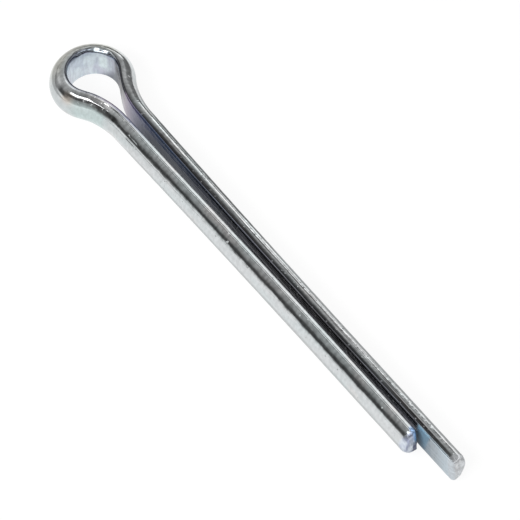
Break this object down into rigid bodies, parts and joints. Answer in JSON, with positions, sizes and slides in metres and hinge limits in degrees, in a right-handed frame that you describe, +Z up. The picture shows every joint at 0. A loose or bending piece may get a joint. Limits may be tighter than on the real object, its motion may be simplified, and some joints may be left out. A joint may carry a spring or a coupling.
{
  "type": "cotter pin",
  "caption": "Split pin of half-round wire with a round eye, soft shoulders and two straight legs, one longer than the other, that close to a round shank with a narrow gap along it.",
  "frame": {"origin": "on the shank's axis where the long leg's shoulder ends, which is the seat under the eye", "axes": "+X along the shank from the eye to the tips, +Y from the short leg to the long leg, +Z up, square to the plane of the eye; the pin lies on its side"},
  "size_m": [0.0913, 0.0127, 0.0056],
  "materials": {
    "zinc": "bright zinc-plated steel wire, drawn lines along it, faint blue and straw tints"
  },
  "bodies": {
    "root": {"cotter_pin": "zinc"}
  },
  "joints": []
}
